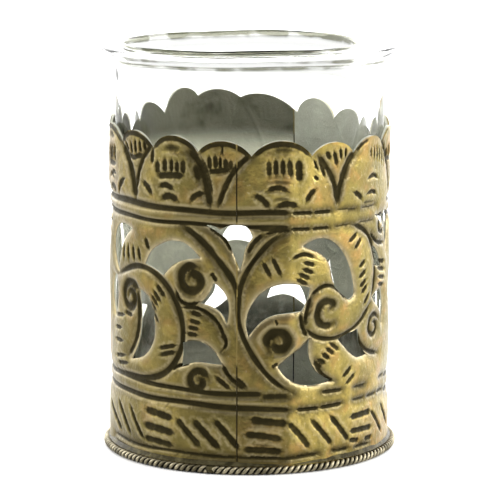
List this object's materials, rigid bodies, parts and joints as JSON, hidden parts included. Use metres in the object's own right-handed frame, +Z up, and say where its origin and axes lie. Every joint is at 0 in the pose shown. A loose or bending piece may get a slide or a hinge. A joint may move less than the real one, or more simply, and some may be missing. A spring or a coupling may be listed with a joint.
{
  "type": "tealight holder",
  "caption": "Tealight holder: a clear glass cup with a rolled, flared lip stands in a pierced, chased brass sleeve with a scalloped top and a wire foot.",
  "frame": {"origin": "centre of the underside of the base plate, on the surface the holder stands on", "axes": "+Z up along the axis of the cup, -Y towards the front of the holder, +X to its right"},
  "size_m": [0.0738, 0.0738, 0.101],
  "materials": {
    "glass": "clear, hand-made, slightly wavy",
    "antiqued_brass": "antiqued, chased, dark in the grooves",
    "wire": "antiqued twisted wire",
    "solder": "dark solder, dull"
  },
  "bodies": {
    "sleeve": {"sleeve_panel_left": "antiqued_brass", "sleeve_panel_right": "antiqued_brass", "front_seam_solder": "solder", "back_seam_solder": "solder", "base_plate": "antiqued_brass", "base_solder": "solder", "foot_wire": "wire", "foot_wire_lump": "solder", "foot_solder": "solder"},
    "glass": {"glass_cup": "glass"}
  },
  "joints": [
    {"name": "glass_lift", "type": "slide", "parent": "sleeve", "child": "glass", "axis": [0, 0, 1], "range_m": [0, 0.1]}
  ]
}
